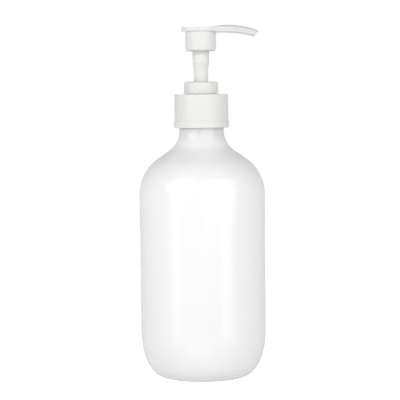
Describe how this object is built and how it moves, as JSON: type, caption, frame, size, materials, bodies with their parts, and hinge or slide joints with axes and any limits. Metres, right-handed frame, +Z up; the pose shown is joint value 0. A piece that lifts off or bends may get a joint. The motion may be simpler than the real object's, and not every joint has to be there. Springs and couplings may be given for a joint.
{
  "type": "pump oil bottle",
  "caption": "Round-shouldered white bottle with a screw-on lotion pump whose sprung head turns and pumps oil out of a long nozzle.",
  "frame": {"origin": "centre of the bottle's resting foot ring, on the surface it stands on", "axes": "+Z up along the bottle's axis, +X along the nozzle, towards its tip"},
  "size_m": [0.0738, 0.0738, 0.207],
  "materials": {
    "bottle_plastic": "satin",
    "pump_plastic": "satin",
    "housing_plastic": "satin",
    "gasket_foam": "matte",
    "seal_plastic": "matte",
    "tube_plastic": "gloss",
    "spring_steel": "satin",
    "ball_steel": "gloss"
  },
  "bodies": {
    "bottle": {"bottle": "bottle_plastic"},
    "gasket": {"neck_gasket": "gasket_foam"},
    "pump_body": {"pump_housing": "housing_plastic", "lock_ring": "pump_plastic", "dip_tube": "tube_plastic"},
    "collar": {"closure_collar": "pump_plastic"},
    "spring": {"return_spring": "spring_steel"},
    "head": {"actuator_head": "pump_plastic", "pump_stem": "pump_plastic", "piston_rod": "housing_plastic"},
    "piston": {"piston": "seal_plastic"},
    "ball": {"inlet_ball": "ball_steel"}
  },
  "joints": [
    {"name": "pump_lift", "type": "slide", "parent": "bottle", "child": "gasket", "axis": [0, 0, 1], "range_m": [0, 0.165]},
    {"name": "thread_rise", "type": "slide", "parent": "gasket", "child": "pump_body", "axis": [0, 0, 1], "range_m": [0, 0.00635]},
    {"name": "collar_turn", "type": "hinge", "parent": "pump_body", "child": "collar", "pos_m": [0, 0, 0.1572], "axis": [0, 0, 1], "range_deg": [0, 540]},
    {"name": "head_turn", "type": "hinge", "parent": "pump_body", "child": "spring", "pos_m": [0, 0, 0.17], "axis": [0, 0, 1], "continuous": true},
    {"name": "pump_stroke", "type": "slide", "parent": "spring", "child": "head", "axis": [0, 0, -1], "range_m": [0, 0.015], "stiffness_N_per_m": 350, "springref_m": -0.012, "deforming": ["return_spring"]},
    {"name": "piston_shift", "type": "slide", "parent": "head", "child": "piston", "axis": [0, 0, 1], "range_m": [0, 0.001]},
    {"name": "ball_lift", "type": "slide", "parent": "pump_body", "child": "ball", "axis": [0, 0, 1], "range_m": [0, 0.0015]}
  ],
  "couplings": [
    {"joint": "collar_turn", "follows": "thread_rise", "rad_per_m": 1484.2}
  ]
}
